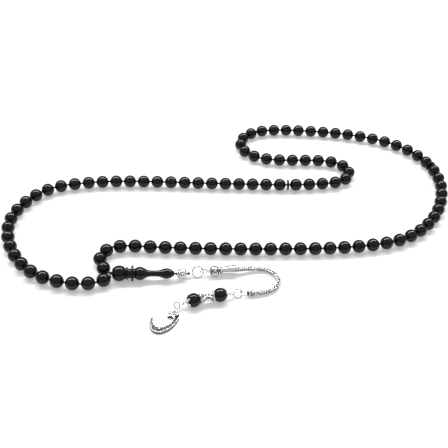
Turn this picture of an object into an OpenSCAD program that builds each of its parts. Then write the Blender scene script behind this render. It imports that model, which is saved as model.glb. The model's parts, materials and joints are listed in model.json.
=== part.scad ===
// Misbaha: 99 counting beads on a loop of thread, with an imame and a silver tassel.
// It lies flat on a table: +Z is up, +X runs along the imame towards the tassel.

/* [Beads] */
// Diameter of a counting bead
bead_d = 6; // [5:0.5:10]
// Thread that shows between two beads, as a share of a bead's diameter
bead_gap_share = 0.112; // [0.104:0.002:0.2]
// How much smaller a divider disc is than a bead, all round
divider_inset = 0.4; // [0.1:0.05:1]
// Thickness of a divider disc
divider_t = 0.9; // [0.6:0.1:1.5]
// Thread that shows beside a divider
divider_gap = 0.25; // [0.2:0.05:0.5]

/* [Thread] */
// Diameter of the thread
thread_d = 0.8; // [0.5:0.05:0.95]
// Clearance of the thread in a bead's bore, all round
thread_clearance = 0.2; // [0.1:0.05:0.35]

/* [Imame] */
// Length of the turned imame
imame_l = 26.2; // [24:0.1:34]
// Diameter of its head ball
imame_ball_d = 6.8; // [6:0.1:8]
// Diameter of its thin disc
imame_disc_d = 6.8; // [6:0.1:8]
// Thickness of the disc
imame_disc_t = 0.9; // [0.6:0.1:1.2]
// Diameter of the ring between the head ball and the disc
imame_ring_d = 5.5; // [5:0.1:6]
// Diameter of the second ball
imame_body_d = 5.8; // [5:0.1:6.6]
// Diameter of the waist
imame_waist_d = 2.6; // [2.2:0.1:3.2]
// Diameter of the egg-shaped tip
imame_tip_d = 4.5; // [3.6:0.1:5]
// Clearance of the two thread ends in the head's bore, all round
imame_clearance = 0.55; // [0.3:0.05:0.6]
// How far round the imame lies from the X axis
imame_yaw = 3.5; // [0:0.5:6]

/* [Tassel top] */
// Diameter of the filigree ball
filigree_d = 5; // [4:0.1:6]
// Diameter of the knot that holds it
knot_d = 1.5; // [1.2:0.1:2]
// Outer diameter of the large jump ring
ring_1_d = 5.3; // [4.8:0.1:6.5]
// Wire of the large jump ring
ring_1_wire = 0.55; // [0.4:0.05:0.6]
// Outer diameter of the link after it
link_d = 4; // [3.8:0.1:4.6]
// Wire of the link and of the eyes
link_wire = 0.45; // [0.35:0.05:0.5]
// Diameter of the ball on top of the bell
cap_ball_d = 4.7; // [4:0.1:5.6]
// Diameter of the grained collar
collar_d = 3.5; // [3:0.1:4.2]
// Length of the bell
bell_l = 6.2; // [5:0.1:8]
// Diameter of the bell at its mouth
bell_mouth_d = 4.4; // [4.2:0.1:5.4]
// Wall of the bell
bell_wall = 0.4; // [0.3:0.05:0.6]

/* [Foxtail chain] */
// Diameter of the chain
chain_d = 2.2; // [1.8:0.1:2.4]
// Length of one rigid stretch of the chain
chain_pitch = 4.5; // [3.8:0.1:6]
// Clearance of each joint between two stretches
chain_clearance = 0.1; // [0.05:0.01:0.15]
// Wall of the end cap
end_cap_wall = 0.2; // [0.2:0.05:0.5]
// Length of the end cap
end_cap_l = 3.8; // [3.5:0.1:5]

/* [Tassel end] */
// Outer diameter of the second jump ring
ring_2_d = 4.1; // [3.9:0.1:5]
// Wire of the second jump ring
ring_2_wire = 0.5; // [0.4:0.05:0.55]
// Diameter of the pin through the tassel beads
pin_d = 0.7; // [0.5:0.05:0.8]
// Diameter of a tassel bead
tassel_bead_d = 6; // [5:0.1:7]
// Clearance of the pin in the tassel beads and the spacer, all round
pin_clearance = 0.05; // [0.05:0.01:0.15]
// Length of the spacer along the pin
spacer_l = 5.9; // [5:0.1:7]
// Diameter of the spacer's rims
spacer_rim_d = 4.8; // [4:0.1:5.4]
// Diameter of the spacer's waist
spacer_waist_d = 2.9; // [2.4:0.1:3.4]
// Wall of the flower caps
flower_wall = 0.35; // [0.3:0.05:0.5]
// Width of the crescent across its horns
crescent_across = 10.5; // [9:0.1:13]
// Depth of the crescent, from the middle of its ovals
crescent_depth = 8.9; // [7.5:0.1:11]
// Width of the crescent's band at its middle
crescent_w = 2.8; // [2.2:0.1:3.4]
// Thickness of the crescent
crescent_t = 1.3; // [1:0.1:1.6]
// Diameter over the points of the star
star_d = 5; // [4.2:0.1:6]

/* [Hidden] */

$fn = 48;
jet = [0.06, 0.06, 0.065];
cord_black = [0.02, 0.02, 0.02];
silver = [0.82, 0.82, 0.84];
set_count = 33;          // beads in each of the three sets
sets = 3;
nominal_pitch = 6.67;    // bead pitch at which the loop's points below were chosen
bead_pitch = bead_d * (1 + bead_gap_share);
bead_bore = thread_d + 2 * thread_clearance;
divider_d = bead_d - 2 * divider_inset;
divider_pitch = divider_t + 2 * divider_gap;
slot_pitch = set_count + 1;   // slots from one divider to the next
bead_z = bead_d / 2;
imame_z = max(imame_ball_d, imame_disc_d) / 2;
imame_at = [-51.3, -46.2];    // middle of the imame's flat head, where the thread goes in

// Route of the loop round the table, from the first bead to the last, in mm
LOOP = [[-53.5, -45.5], [-57.5, -40.5], [-58.5, -34.5], [-55, -29.5], [-48, -27.5], [-34, -27.5],
        [-15, -27], [5, -26], [25, -24.5], [45, -22.5], [63, -19], [77, -14], [88, -5], [96, 7],
        [100.5, 20], [102, 32], [99.5, 46], [92, 58], [79, 67], [60, 72.3], [40, 74], [20, 73.5],
        [8, 70], [2, 62.5], [2, 54.5], [8, 47.5], [20, 45], [36, 46], [47, 46], [54.5, 43],
        [57.5, 36.5], [54.5, 30], [47, 27], [30, 24.2], [10, 23], [-15, 22], [-40, 21.3],
        [-60, 20], [-76, 17], [-89, 12], [-98, 1.5], [-102.5, -12], [-100.5, -26], [-93, -40],
        [-82, -49.5], [-68, -53], [-59, -52.5], [-52, -48.5]];

// Route of the foxtail chain from the bell's mouth: along, across, and how much of the drop
// from the bell's height to the table is still left
CHAIN = [[0, 0, 1], [4, 1.2, 0.75], [8, 2.3, 0.3], [12, 2.6, 0.05], [15.6, 1, 0],
         [18, -2.2, 0], [18.4, -6.2, 0], [16.2, -10, 0.05], [12, -12.2, 0.15],
         [8, -13, 0.2], [3, -13.3, 0.2]];

// A smooth curve through points
CURVE_STEPS = 24;
function before(p, i) = i > 0 ? p[i - 1] : 2 * p[0] - p[1];
function after(p, i) = i + 2 < len(p) ? p[i + 2] : 2 * p[i + 1] - p[i];
function between(a, b, c, d, t) =
    0.5 * (2 * b + (c - a) * t + (2 * a - 5 * b + 4 * c - d) * t * t
    + (3 * b - 3 * c + d - a) * t * t * t);
function curve(p) = [
    for (i = [0 : len(p) - 2]) for (k = [0 : CURVE_STEPS - 1])
        between(before(p, i), p[i], p[i + 1], after(p, i), k / CURVE_STEPS),
    p[len(p) - 1]];

// Points along a curve, each a straight step from the one before: [place, segment] pairs
function cut(a, d, e, s) =
    let (qa = d * d, qb = 2 * (e * d), qc = e * e - s * s)
    (-qb + sqrt(qb * qb - 4 * qa * qc)) / (2 * qa);
function next(c, i, at, s) =
    i + 2 < len(c) && norm(c[i + 1] - at) < s ? next(c, i + 1, at, s)
    : [c[i] + (c[i + 1] - c[i]) * cut(c[i], c[i + 1] - c[i], c[i] - at, s), i];
function march(c, steps, k = 0, last = undef) =
    let (here = k == 0 ? [c[0], 0] : next(c, last[1], last[0], steps[k - 1]))
    k == len(steps) ? [here[0]] : concat([here[0]], march(c, steps, k + 1, here));

// The loop grows and shrinks with its beads, about the imame's head
loop_scale = bead_pitch / nominal_pitch;
loop_curve = curve([for (p = LOOP) imame_at + (p - imame_at) * loop_scale]);
loop_steps = [for (i = [0 : sets * slot_pitch - 2])
    i % slot_pitch == set_count ? divider_pitch : bead_pitch];
gaps = march(loop_curve, loop_steps);
function slot_middle(i) = (gaps[i] + gaps[i + 1]) / 2;
function slot_yaw(i) = atan2(gaps[i + 1][1] - gaps[i][1], gaps[i + 1][0] - gaps[i][0]);
function bead_slot(n) = n - 1 + floor((n - 1) / set_count);

// Steps along the tassel on the table: a place, a heading and a distance
function ahead(at, yaw, s) = at + s * [cos(yaw), sin(yaw)];
link_slack = 0.2;                       // play of one wire inside the next ring
strand_y = thread_d / 2 + 0.05;         // half the distance between the thread's two ends
imame_bore = 4 * strand_y + 2 * imame_clearance - 0.1;
tip_bore = thread_d + 0.3;
head_open = 0.5;                        // how far the thread reaches into the head
strand_out = 1;                         // how far outside the head the two strands turn
tail_yaw = 20;
tip_at = ahead(imame_at, imame_yaw, imame_l);
filigree_s = filigree_d / 2 + 0.8;      // from the imame's tip to the ball's middle
tail_pitch = atan((imame_z - filigree_d / 2) / filigree_s);   // the ball lies on the table
knot_s = filigree_s + filigree_d / 2 + knot_d / 2 - 0.2;
knot_z = imame_z - knot_s * tan(tail_pitch);
knot_at = ahead(tip_at, tail_yaw, knot_s);
eye_r = 0.85;                           // middle radius of the small eyes
thread_eye_at = ahead(knot_at, tail_yaw, knot_d / 2 + eye_r - 0.2);
lean = 51;                              // the jump rings lean back against their links
ring_1_r = (ring_1_d - ring_1_wire) / 2;
ring_1_z = ring_1_r * sin(lean) + ring_1_wire / 2;
ring_1_yaw = 8;
ring_1_at = ahead(thread_eye_at, ring_1_yaw, ring_1_r + link_slack);
link_r = (link_d - link_wire) / 2;
link_yaw = 5;
link_at = ahead(ring_1_at, link_yaw, ring_1_r + 0.4);
cap_yaw = 9;
cap_z = cap_ball_d / 2;
cap_at = ahead(link_at, cap_yaw, link_r + link_wire / 2 + 0.15 + cap_ball_d / 2);
collar_s = cap_ball_d / 2 + 0.35;       // from the middle of the ball
bell_s = collar_s + 0.4;
mouth_at = ahead(cap_at, cap_yaw, bell_s + bell_l);

// Joints of the foxtail chain
chain_count = 10;
chain_scale = chain_pitch / 4.5;        // the route grows and shrinks with its stretches
chain_low = chain_d / 2 + 0.02;
chain_curve = curve([for (p = CHAIN)
    [mouth_at[0] + p[0] * chain_scale, mouth_at[1] + p[1] * chain_scale,
     chain_low + p[2] * (cap_z - chain_low)]]);
chain_joints = march(chain_curve, [for (i = [1 : chain_count - 2]) chain_pitch]);
chain_start = [each ahead(mouth_at, cap_yaw, -3.6), cap_z];
end_yaw = 186;
end_joint = chain_joints[chain_count - 2];
end_cap_bore = chain_d + 0.1;
end_cap_d = end_cap_bore + 2 * end_cap_wall;
end_cap_z = max(end_joint[2], end_cap_d / 2);
end_cap_s = 1;                          // bare chain before the end cap's mouth
end_eye_r = 1.35;                       // middle radius of the end cap's eye
end_eye_s = end_cap_s + end_cap_l + end_eye_r - link_wire / 2;
end_eye_at = ahead([end_joint[0], end_joint[1]], end_yaw, end_eye_s);

ring_2_r = (ring_2_d - ring_2_wire) / 2;
ring_2_z = ring_2_r * sin(lean) + ring_2_wire / 2;
ring_2_yaw = 194;
ring_2_at = ahead(end_eye_at, ring_2_yaw, ring_2_r + end_eye_r - (link_wire + ring_2_wire) / 2 - 0.15);
pin_yaw = 199.5;
pin_z = tassel_bead_d / 2;
pin_bore = pin_d + 2 * pin_clearance;
pin_eye_at = ahead(ring_2_at, pin_yaw, ring_2_r + link_slack);
pin_bead_s = tassel_bead_d / 2 + 2.9;   // from the pin's eye to the first bead's middle
bead_1_at = ahead(pin_eye_at, pin_yaw, pin_bead_s);
bead_rest = 0.23;                       // a bead's pole sits this far inside the spacer's rim
bead_step = tassel_bead_d + spacer_l - 2 * bead_rest;
bead_2_at = ahead(bead_1_at, pin_yaw, bead_step);
pin_eye_2_s = tassel_bead_d / 2 + 2.4;
pin_eye_2_at = ahead(bead_2_at, pin_yaw, pin_eye_2_s);
pin_eye_2_z = 1.8;
small_wire = 0.38;
small_r = 1.25;                         // middle radius of the first small ring
small_ring_z = 1.8;
small_1_at = ahead(pin_eye_2_at, 190, small_r + eye_r - small_wire - 0.14);
small_2_r = 0.8;
small_2_at = small_1_at + [0, -small_r * cos(lean) - 0.25];
bail_r = 0.55;
bail_at = small_2_at - [0, small_2_r + 0.08];
star_at = bail_at + star_d * [-0.26, -0.54];
star_yaw = 68;                          // the way the star's top point looks
crescent_at = star_at + crescent_across * [-0.286, -0.165];   // middle of its ovals
crescent_yaw = 68;                      // the way its ovals lie

// --- helpers
module along_x() rotate([0, 90, 0]) children();

module put(at, z, yaw) translate([at[0], at[1], z]) rotate([0, 0, yaw]) children();

module wire_ring(r, wire, tilt) {
    rotate([tilt, 0, 0]) rotate_extrude() translate([r, 0]) circle(d = wire, $fn = 24);
}

// A round thread through points, one ring of vertices at each point
THREAD_SIDES = 8;
function unit(v) = v / norm(v);
function tangent(p, i) = unit(p[min(i + 1, len(p) - 1)] - p[max(i - 1, 0)]);
function thread_ring(c, t, r) =
    let (side = unit(cross([0, 0, 1], t)), up = cross(t, side))
    [for (k = [0 : THREAD_SIDES - 1])
        c + r * (cos(k * 360 / THREAD_SIDES) * side + sin(k * 360 / THREAD_SIDES) * up)];
module thread_tube(p, d) {
    n = THREAD_SIDES;
    points = [for (i = [0 : len(p) - 1]) each thread_ring(p[i], tangent(p, i), d / 2)];
    sides = [for (i = [0 : len(p) - 2]) for (k = [0 : n - 1])
        [i * n + k, (i + 1) * n + k, (i + 1) * n + (k + 1) % n, i * n + (k + 1) % n]];
    first = [for (k = [0 : n - 1]) k];
    last = [for (k = [n - 1 : -1 : 0]) (len(p) - 1) * n + k];
    polyhedron(points, concat([first], sides, [last]));
}

// --- string of beads
module thread() {
    into_head = [ahead(imame_at, imame_yaw, head_open) + [0, strand_y],
                 ahead(imame_at, imame_yaw, -strand_out) + [0, strand_y]];
    out_of_head = [ahead(imame_at, imame_yaw, -strand_out) - [0, strand_y],
                   ahead(imame_at, imame_yaw, head_open) - [0, strand_y]];
    path = concat([for (p = into_head) [p[0], p[1], imame_z]],
                  [for (p = gaps) [p[0], p[1], bead_z]],
                  [for (p = out_of_head) [p[0], p[1], imame_z]]);
    color(cord_black) thread_tube(path, thread_d);
}

module counting_bead(n) {
    i = bead_slot(n);
    color(jet) put(slot_middle(i), bead_z, slot_yaw(i)) along_x() difference() {
        sphere(d = bead_d);
        cylinder(d = bead_bore, h = bead_d + 1, center = true);
    }
}

module bead_run(first, last) {
    for (n = [first : last]) counting_bead(n);
}

module divider(k) {
    i = k * slot_pitch - 1;
    color(jet) put(slot_middle(i), bead_z, slot_yaw(i)) along_x() difference() {
        cylinder(d = divider_d, h = divider_t, center = true);
        cylinder(d = bead_bore, h = divider_t + 1, center = true);
    }
}

// --- imame, turned about its own axis; s runs from the flat head to the tip
ball_s = sqrt(pow(imame_ball_d / 2, 2) - pow(1.75, 2));   // the head's flat is 3.5 mm across
ring_s = ball_s + imame_ball_d / 2 - 0.15;
disc_s = ring_s + 2.35;
body_s = disc_s + imame_disc_t / 2 + imame_body_d / 2 - 0.15;
waist_s = body_s + 6;
tip_l = 3.5;
tip_s = imame_l - tip_l;
function imame_waist(s) =
    let (t = (s - body_s) / (tip_s - body_s), low = imame_waist_d / 2,
         from = imame_body_d / 2, to = imame_tip_d / 2, m = (waist_s - body_s) / (tip_s - body_s))
    t < m ? low + (from - low) * pow(cos(90 * t / m), 4.5)
    : low + (to - low) * pow(cos(90 * (1 - t) / (1 - m)), 4);
module imame() {
    neck_r = 2.1;
    color(jet) put(imame_at, imame_z, imame_yaw) along_x() difference() {
        union() {
            intersection() {
                translate([0, 0, ball_s]) sphere(d = imame_ball_d);
                cylinder(d = 20, h = imame_l);
            }
            translate([0, 0, ball_s]) cylinder(r = neck_r, h = body_s - ball_s);
            translate([0, 0, ring_s])
                rotate_extrude() translate([imame_ring_d / 2 - 0.45, 0]) circle(r = 0.45, $fn = 24);
            translate([0, 0, disc_s - imame_disc_t / 2]) cylinder(d = imame_disc_d, h = imame_disc_t);
            rotate_extrude() polygon(concat(
                [for (a = [0 : 7.5 : 82.5])
                    [imame_body_d / 2 * sin(a), body_s - imame_body_d / 2 * cos(a)]],
                [for (k = [0 : 28]) let (s = body_s + (tip_s - body_s) * k / 28) [imame_waist(s), s]],
                [for (a = [15 : 15 : 60]) [imame_tip_d / 2 * cos(a), tip_s + tip_l * sin(a)]],
                [[0.95, imame_l], [0, imame_l]]));
        }
        translate([0, 0, -1]) cylinder(d = imame_bore, h = 5);
        translate([0, 0, -1]) cylinder(d = tip_bore, h = imame_l + 2);
        translate([0, 0, imame_l - 1.2]) cylinder(d1 = tip_bore, d2 = tip_bore + 0.4, h = 1.21);
    }
}

// --- tail of thread with the filigree ball
tail_start_s = -0.3;
module tail_line() put(tip_at, imame_z, tail_yaw) rotate([0, tail_pitch, 0]) children();
module tail_thread() {
    color(cord_black) tail_line() translate([tail_start_s, 0, 0]) along_x()
        cylinder(d = thread_d, h = knot_s / cos(tail_pitch) - tail_start_s);
}
module filigree_ball() {
    color(silver) tail_line() translate([filigree_s / cos(tail_pitch), 0, 0]) along_x() difference() {
        sphere(d = filigree_d);
        sphere(d = filigree_d - 1);
        cylinder(d = thread_d + 0.15, h = filigree_d + 1, center = true);
    }
}
module knot() {
    color(cord_black) put(knot_at, knot_z, tail_yaw) sphere(d = knot_d);
}
module thread_eye() {
    color(silver) put(thread_eye_at, ring_1_z, ring_1_yaw) wire_ring(eye_r, link_wire, lean - 90);
}
module ring_1() {
    color(silver) put(ring_1_at, ring_1_z, ring_1_yaw) wire_ring(ring_1_r, ring_1_wire, lean);
}
module link() {
    color(silver) put(link_at, ring_1_z, link_yaw) wire_ring(link_r, link_wire, 0);
}

// --- ball, collar and bell that hold the chain
module cap_ball() {
    color(silver) put(cap_at, cap_z, cap_yaw) {
        sphere(d = cap_ball_d);
        translate([-cap_ball_d / 2 - eye_r + link_wire / 2, 0, 0]) wire_ring(eye_r, link_wire, 90);
    }
}
module collar() {
    grain_d = 0.8;
    grains = 12;
    color(silver) put(cap_at, cap_z, cap_yaw) translate([collar_s, 0, 0]) along_x() {
        cylinder(d = collar_d - grain_d, h = 0.8, center = true);
        for (k = [0 : grains - 1]) rotate([0, 0, k * 360 / grains])
            translate([(collar_d - grain_d) / 2, 0, 0]) sphere(d = grain_d, $fn = 24);
    }
}
module bell() {
    throat_d = 3;
    color(silver) put(cap_at, cap_z, cap_yaw) translate([bell_s, 0, 0]) along_x() difference() {
        cylinder(d1 = throat_d, d2 = bell_mouth_d, h = bell_l);
        translate([0, 0, 1]) cylinder(d1 = throat_d - 2 * bell_wall, d2 = bell_mouth_d - 2 * bell_wall,
                                      h = bell_l - 1 + 0.01);
    }
}

// --- foxtail chain: stretches with a round end that turns in the hollow end before it
module stretch(from, to, hollow, round) {
    v = to - from;
    l = norm(v);
    color(silver) translate(from) rotate([0, asin(-v[2] / l), atan2(v[1], v[0])]) along_x() difference() {
        union() {
            cylinder(d = chain_d, h = l);
            if (round) sphere(d = chain_d);
        }
        if (hollow) translate([0, 0, l]) sphere(d = chain_d + 2 * chain_clearance);
    }
}
module chain(i) {
    from = i == 1 ? chain_start : chain_joints[i - 2];
    to = i < chain_count ? chain_joints[i - 1]
        : [each ahead([end_joint[0], end_joint[1]], end_yaw, end_cap_s + end_cap_l - 1.1), end_joint[2]];
    stretch(from, to, i < chain_count, i > 1);
}
module end_cap() {
    color(silver) put([end_joint[0], end_joint[1]], end_cap_z, end_yaw) {
        translate([end_cap_s, 0, 0]) along_x() difference() {
            cylinder(d = end_cap_d, h = end_cap_l);
            translate([0, 0, -1]) cylinder(d = end_cap_bore, h = end_cap_l);
        }
        translate([end_eye_s, 0, ring_2_z - end_cap_z]) wire_ring(end_eye_r, link_wire, 0);
    }
}
module ring_2() {
    color(silver) put(ring_2_at, ring_2_z, ring_2_yaw) wire_ring(ring_2_r, ring_2_wire, -lean);
}

// --- pin with two beads and a spacer
module rod(from, to, d) {
    v = to - from;
    translate(from) rotate([0, asin(-v[2] / norm(v)), atan2(v[1], v[0])]) along_x()
        cylinder(d = d, h = norm(v));
}
module pin_end(bend, eye, wire, side) {
    rod(bend, eye - [side * (eye_r - 0.1), 0, 0], pin_d * 0.7);
    translate(eye) wire_ring(eye_r, wire, 90 - lean);
    translate(bend) sphere(d = pin_d * 1.2);
}
module head_pin() {
    bend = -tassel_bead_d / 2 - 0.9;
    bend_2 = bead_step + tassel_bead_d / 2 + 0.8;
    color(silver) put(bead_1_at, pin_z, pin_yaw) {
        rod([bend, 0, 0], [bend_2, 0, 0], pin_d);
        pin_end([bend, 0, 0], [-pin_bead_s, 0, ring_2_z - pin_z], link_wire, -1);
        pin_end([bend_2, 0, 0], [bead_step + pin_eye_2_s, 0, pin_eye_2_z - pin_z], small_wire, 1);
    }
}
module on_pin(s) put(bead_1_at, pin_z, pin_yaw) translate([s, 0, 0]) children();
module tassel_bead(s) {
    color(jet) on_pin(s) along_x() difference() {
        sphere(d = tassel_bead_d);
        cylinder(d = pin_bore, h = tassel_bead_d + 1, center = true);
    }
}
module spacer() {
    flare = (spacer_rim_d - spacer_waist_d) / 2;
    seat_d = tassel_bead_d + 0.1;
    color(silver) on_pin(bead_step / 2) along_x() difference() {
        rotate_extrude() polygon(concat([[0, -spacer_l / 2]],
            [for (k = [-10 : 10]) [spacer_waist_d / 2 + flare * pow(k / 10, 2), k / 10 * spacer_l / 2]],
            [[0, spacer_l / 2]]));
        cylinder(d = pin_bore, h = spacer_l + 1, center = true);
        for (side = [-1, 1]) translate([0, 0, side * bead_step / 2]) sphere(d = seat_d);
    }
}
module flower_cap(s, side) {
    seat_r = tassel_bead_d / 2 + 0.05;
    cap_depth = 1.5;
    color(silver) on_pin(s) along_x() difference() {
        sphere(r = seat_r + flower_wall);
        sphere(r = seat_r);
        cylinder(d = pin_d + 0.04, h = 20, center = true);
        translate([0, 0, -side * 10 + side * (seat_r + flower_wall - cap_depth)])
            cube([20, 20, 20], center = true);
    }
}

// --- small rings, star and crescent
module small_ring_1() {
    color(silver) put(small_1_at, small_ring_z, 0) wire_ring(small_r, small_wire, lean);
}
module small_ring_2() {
    color(silver) put(small_2_at, small_2_r + small_wire / 2, 90) wire_ring(small_2_r, small_wire, 90);
}
module star() {
    points = 5;
    color(silver) {
        put(star_at, 0, star_yaw) linear_extrude(crescent_t + 0.2)
            polygon([for (k = [0 : 2 * points - 1])
                star_d / 2 * (k % 2 == 0 ? 1 : 0.5) * [cos(k * 180 / points), sin(k * 180 / points)]]);
        put(bail_at, small_2_r + small_wire / 2, 0) wire_ring(bail_r, small_wire, 0);
    }
}
// One edge of the crescent: an oval's arc from the left horn round to the right
function crescent_edge(depth, half_width) =
    [for (t = [110 : 7 : 285]) [depth * cos(t), half_width * sin(t)]];
module crescent() {
    horn_w = 1.2;                       // mean width of the two horns
    lopsided = 0.5;                     // the right horn is the wider one
    outer = crescent_edge(crescent_depth, crescent_across / 2);
    inner = [for (p = crescent_edge(crescent_depth - crescent_w, crescent_across / 2 - horn_w))
        p + [0, lopsided]];
    color(silver) put(crescent_at, 0, crescent_yaw) linear_extrude(crescent_t)
        polygon(concat(outer, [for (i = [len(inner) - 1 : -1 : 0]) inner[i]]));
}

thread();
bead_run(11, 33);  // beads_11_to_33
bead_run(34, 66);  // beads_34_to_66
bead_run(67, 89);  // beads_67_to_89
divider(1);  // divider_1
divider(2);  // divider_2
counting_bead(1);  // bead_01
counting_bead(2);  // bead_02
counting_bead(3);  // bead_03
counting_bead(4);  // bead_04
counting_bead(5);  // bead_05
counting_bead(6);  // bead_06
counting_bead(7);  // bead_07
counting_bead(8);  // bead_08
counting_bead(9);  // bead_09
counting_bead(10);  // bead_10
counting_bead(90);  // bead_90
counting_bead(91);  // bead_91
counting_bead(92);  // bead_92
counting_bead(93);  // bead_93
counting_bead(94);  // bead_94
counting_bead(95);  // bead_95
counting_bead(96);  // bead_96
counting_bead(97);  // bead_97
counting_bead(98);  // bead_98
counting_bead(99);  // bead_99
imame();
tail_thread();
filigree_ball();
knot();
thread_eye();
ring_1();
link();
cap_ball();
collar();
bell();
chain(1);  // chain_01
chain(2);  // chain_02
chain(3);  // chain_03
chain(4);  // chain_04
chain(5);  // chain_05
chain(6);  // chain_06
chain(7);  // chain_07
chain(8);  // chain_08
chain(9);  // chain_09
chain(10);  // chain_10
end_cap();
ring_2();
head_pin();
flower_cap(0, -1);  // flower_cap_1
tassel_bead(0);  // tassel_bead_1
spacer();
tassel_bead(bead_step);  // tassel_bead_2
flower_cap(bead_step, 1);  // flower_cap_2
small_ring_1();
small_ring_2();
star();
crescent();
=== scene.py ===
"""Misbaha: 99 glossy black counting beads on a loop of thread, with a turned imame and a silver
tassel, lying on a white table. Sizes are in millimetres until a piece is made, and MM turns them
into metres. A turned piece is drawn out along X about its own axis, then laid in its place."""

import json
import math

import bmesh
import bpy
from mathutils import Matrix, Vector


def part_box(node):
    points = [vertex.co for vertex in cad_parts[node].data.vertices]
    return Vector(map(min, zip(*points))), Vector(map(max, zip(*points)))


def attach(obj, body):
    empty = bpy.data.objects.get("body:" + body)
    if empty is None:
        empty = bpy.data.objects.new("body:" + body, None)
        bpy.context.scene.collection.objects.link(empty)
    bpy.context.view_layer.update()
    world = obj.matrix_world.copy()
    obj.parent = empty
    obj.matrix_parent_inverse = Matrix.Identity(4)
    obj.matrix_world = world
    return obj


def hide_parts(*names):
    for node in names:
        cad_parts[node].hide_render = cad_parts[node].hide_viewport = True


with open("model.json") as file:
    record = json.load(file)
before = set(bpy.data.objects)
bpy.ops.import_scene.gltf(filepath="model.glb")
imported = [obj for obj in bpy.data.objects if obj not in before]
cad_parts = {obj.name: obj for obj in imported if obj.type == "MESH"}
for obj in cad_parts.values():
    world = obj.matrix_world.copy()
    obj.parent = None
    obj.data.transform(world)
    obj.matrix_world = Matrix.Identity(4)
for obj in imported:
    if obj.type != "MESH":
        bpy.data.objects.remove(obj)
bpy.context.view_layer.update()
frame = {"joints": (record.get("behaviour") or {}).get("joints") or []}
MM = 0.001
X, Y, Z = Vector((1, 0, 0)), Vector((0, 1, 0)), Vector((0, 0, 1))

# ---------------------------------------------------------------- sizes, as the frame has them
BEAD_D = 6.0
BEAD_PITCH = BEAD_D * 1.112
NOMINAL_PITCH = 6.67
BEAD_Z = BEAD_D / 2
SET_COUNT = 33
SETS = 3
SLOTS = SETS * (SET_COUNT + 1) - 1
DIVIDER_D, DIVIDER_T, DIVIDER_GAP = 5.2, 0.9, 0.25
THREAD_D = 0.8
BORE = 1.2
IMAME_L, IMAME_BALL_D, IMAME_DISC_D, IMAME_DISC_T = 26.2, 6.8, 6.8, 0.9
IMAME_RING_D, IMAME_BODY_D, IMAME_WAIST_D, IMAME_TIP_D = 5.5, 5.8, 2.6, 4.5
FILIGREE_D, CAP_BALL_D, COLLAR_D = 5.0, 4.7, 3.5
BELL_L, BELL_THROAT_D, BELL_MOUTH_D, BELL_WALL = 6.2, 3.0, 4.4, 0.4
CHAIN_D = 2.2
END_CAP_D, END_CAP_L, END_CAP_S = 2.7, 3.8, 1.0
EYE_R, LINK_WIRE, SMALL_WIRE = 0.85, 0.45, 0.38
LEAN = 51.0
TASSEL_BEAD_D, PIN_D, PIN_BORE = 6.0, 0.7, 0.8
SPACER_L, SPACER_RIM_D, SPACER_WAIST_D = 5.9, 4.8, 2.9
STAR_D, STAR_YAW = 5.0, 68.0
CRESCENT_ACROSS, CRESCENT_DEPTH, CRESCENT_W, CRESCENT_T = 10.5, 8.9, 2.8, 1.3
CRESCENT_YAW = 68.0
RING_INNER_SHADE = 1.6  # how fast a ring darkens towards its inner side, as painted shade that outlines the wire


def joint_at(name):
    """A joint's place, in mm."""
    return Vector(next(j for j in frame["joints"] if j["name"] == name)["pos_m"]) / MM


def joint_axis(name):
    return Vector(next(j for j in frame["joints"] if j["name"] == name)["axis"])


def middle(node):
    """The middle of a CAD node's box, in mm."""
    low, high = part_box(node)
    return (low + high) / 2 / MM


# ---------------------------------------------------------------- camera
def make_camera():
    pitch, roll = math.radians(38.99), math.radians(2.62)
    forward = Vector((0, math.cos(pitch), -math.sin(pitch)))
    level_up = Vector((0, math.sin(pitch), math.cos(pitch)))
    right = X * math.cos(roll) + level_up * math.sin(roll)
    up = level_up * math.cos(roll) - X * math.sin(roll)
    data = bpy.data.cameras.new("camera")
    data.lens = 63.81
    data.sensor_width = 36
    data.clip_start, data.clip_end = 0.01, 20
    camera = bpy.data.objects.new("camera", data)
    bpy.context.scene.collection.objects.link(camera)
    camera.matrix_world = Matrix((
        (right.x, up.x, -forward.x, -0.005),
        (right.y, up.y, -forward.y, -0.293),
        (right.z, up.z, -forward.z, 0.2328),
        (0, 0, 0, 1),
    ))
    bpy.context.scene.camera = camera


make_camera()

# ---------------------------------------------------------------- route of the loop
IMAME_AT = joint_at("imame_swing")
IMAME_TIP = joint_at("tail_swing")
HEAD_OPEN, STRAND_OUT, STRAND_Y = 0.5, 1.0, THREAD_D / 2 + 0.05

LOOP = [(-53.5, -45.5), (-57.5, -40.5), (-58.5, -34.5), (-55, -29.5), (-48, -27.5), (-34, -27.5),
        (-15, -27), (5, -26), (25, -24.5), (45, -22.5), (63, -19), (77, -14), (88, -5), (96, 7),
        (100.5, 20), (102, 32), (99.5, 46), (92, 58), (79, 67), (60, 72.3), (40, 74), (20, 73.5),
        (8, 70), (2, 62.5), (2, 54.5), (8, 47.5), (20, 45), (36, 46), (47, 46), (54.5, 43),
        (57.5, 36.5), (54.5, 30), (47, 27), (30, 24.2), (10, 23), (-15, 22), (-40, 21.3),
        (-60, 20), (-76, 17), (-89, 12), (-98, 1.5), (-102.5, -12), (-100.5, -26), (-93, -40),
        (-82, -49.5), (-68, -53), (-59, -52.5), (-52, -48.5)]


def smooth_line(points, steps=24):
    """A smooth line through points."""
    ends = [2 * points[0] - points[1], *points, 2 * points[-1] - points[-2]]
    line = []
    for a, b, c, d in zip(ends, ends[1:], ends[2:], ends[3:]):
        for k in range(steps):
            t = k / steps
            line.append(0.5 * (2 * b + (c - a) * t + (2 * a - 5 * b + 4 * c - d) * t * t
                               + (3 * b - 3 * c + d - a) * t * t * t))
    return [*line, points[-1]]


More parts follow.
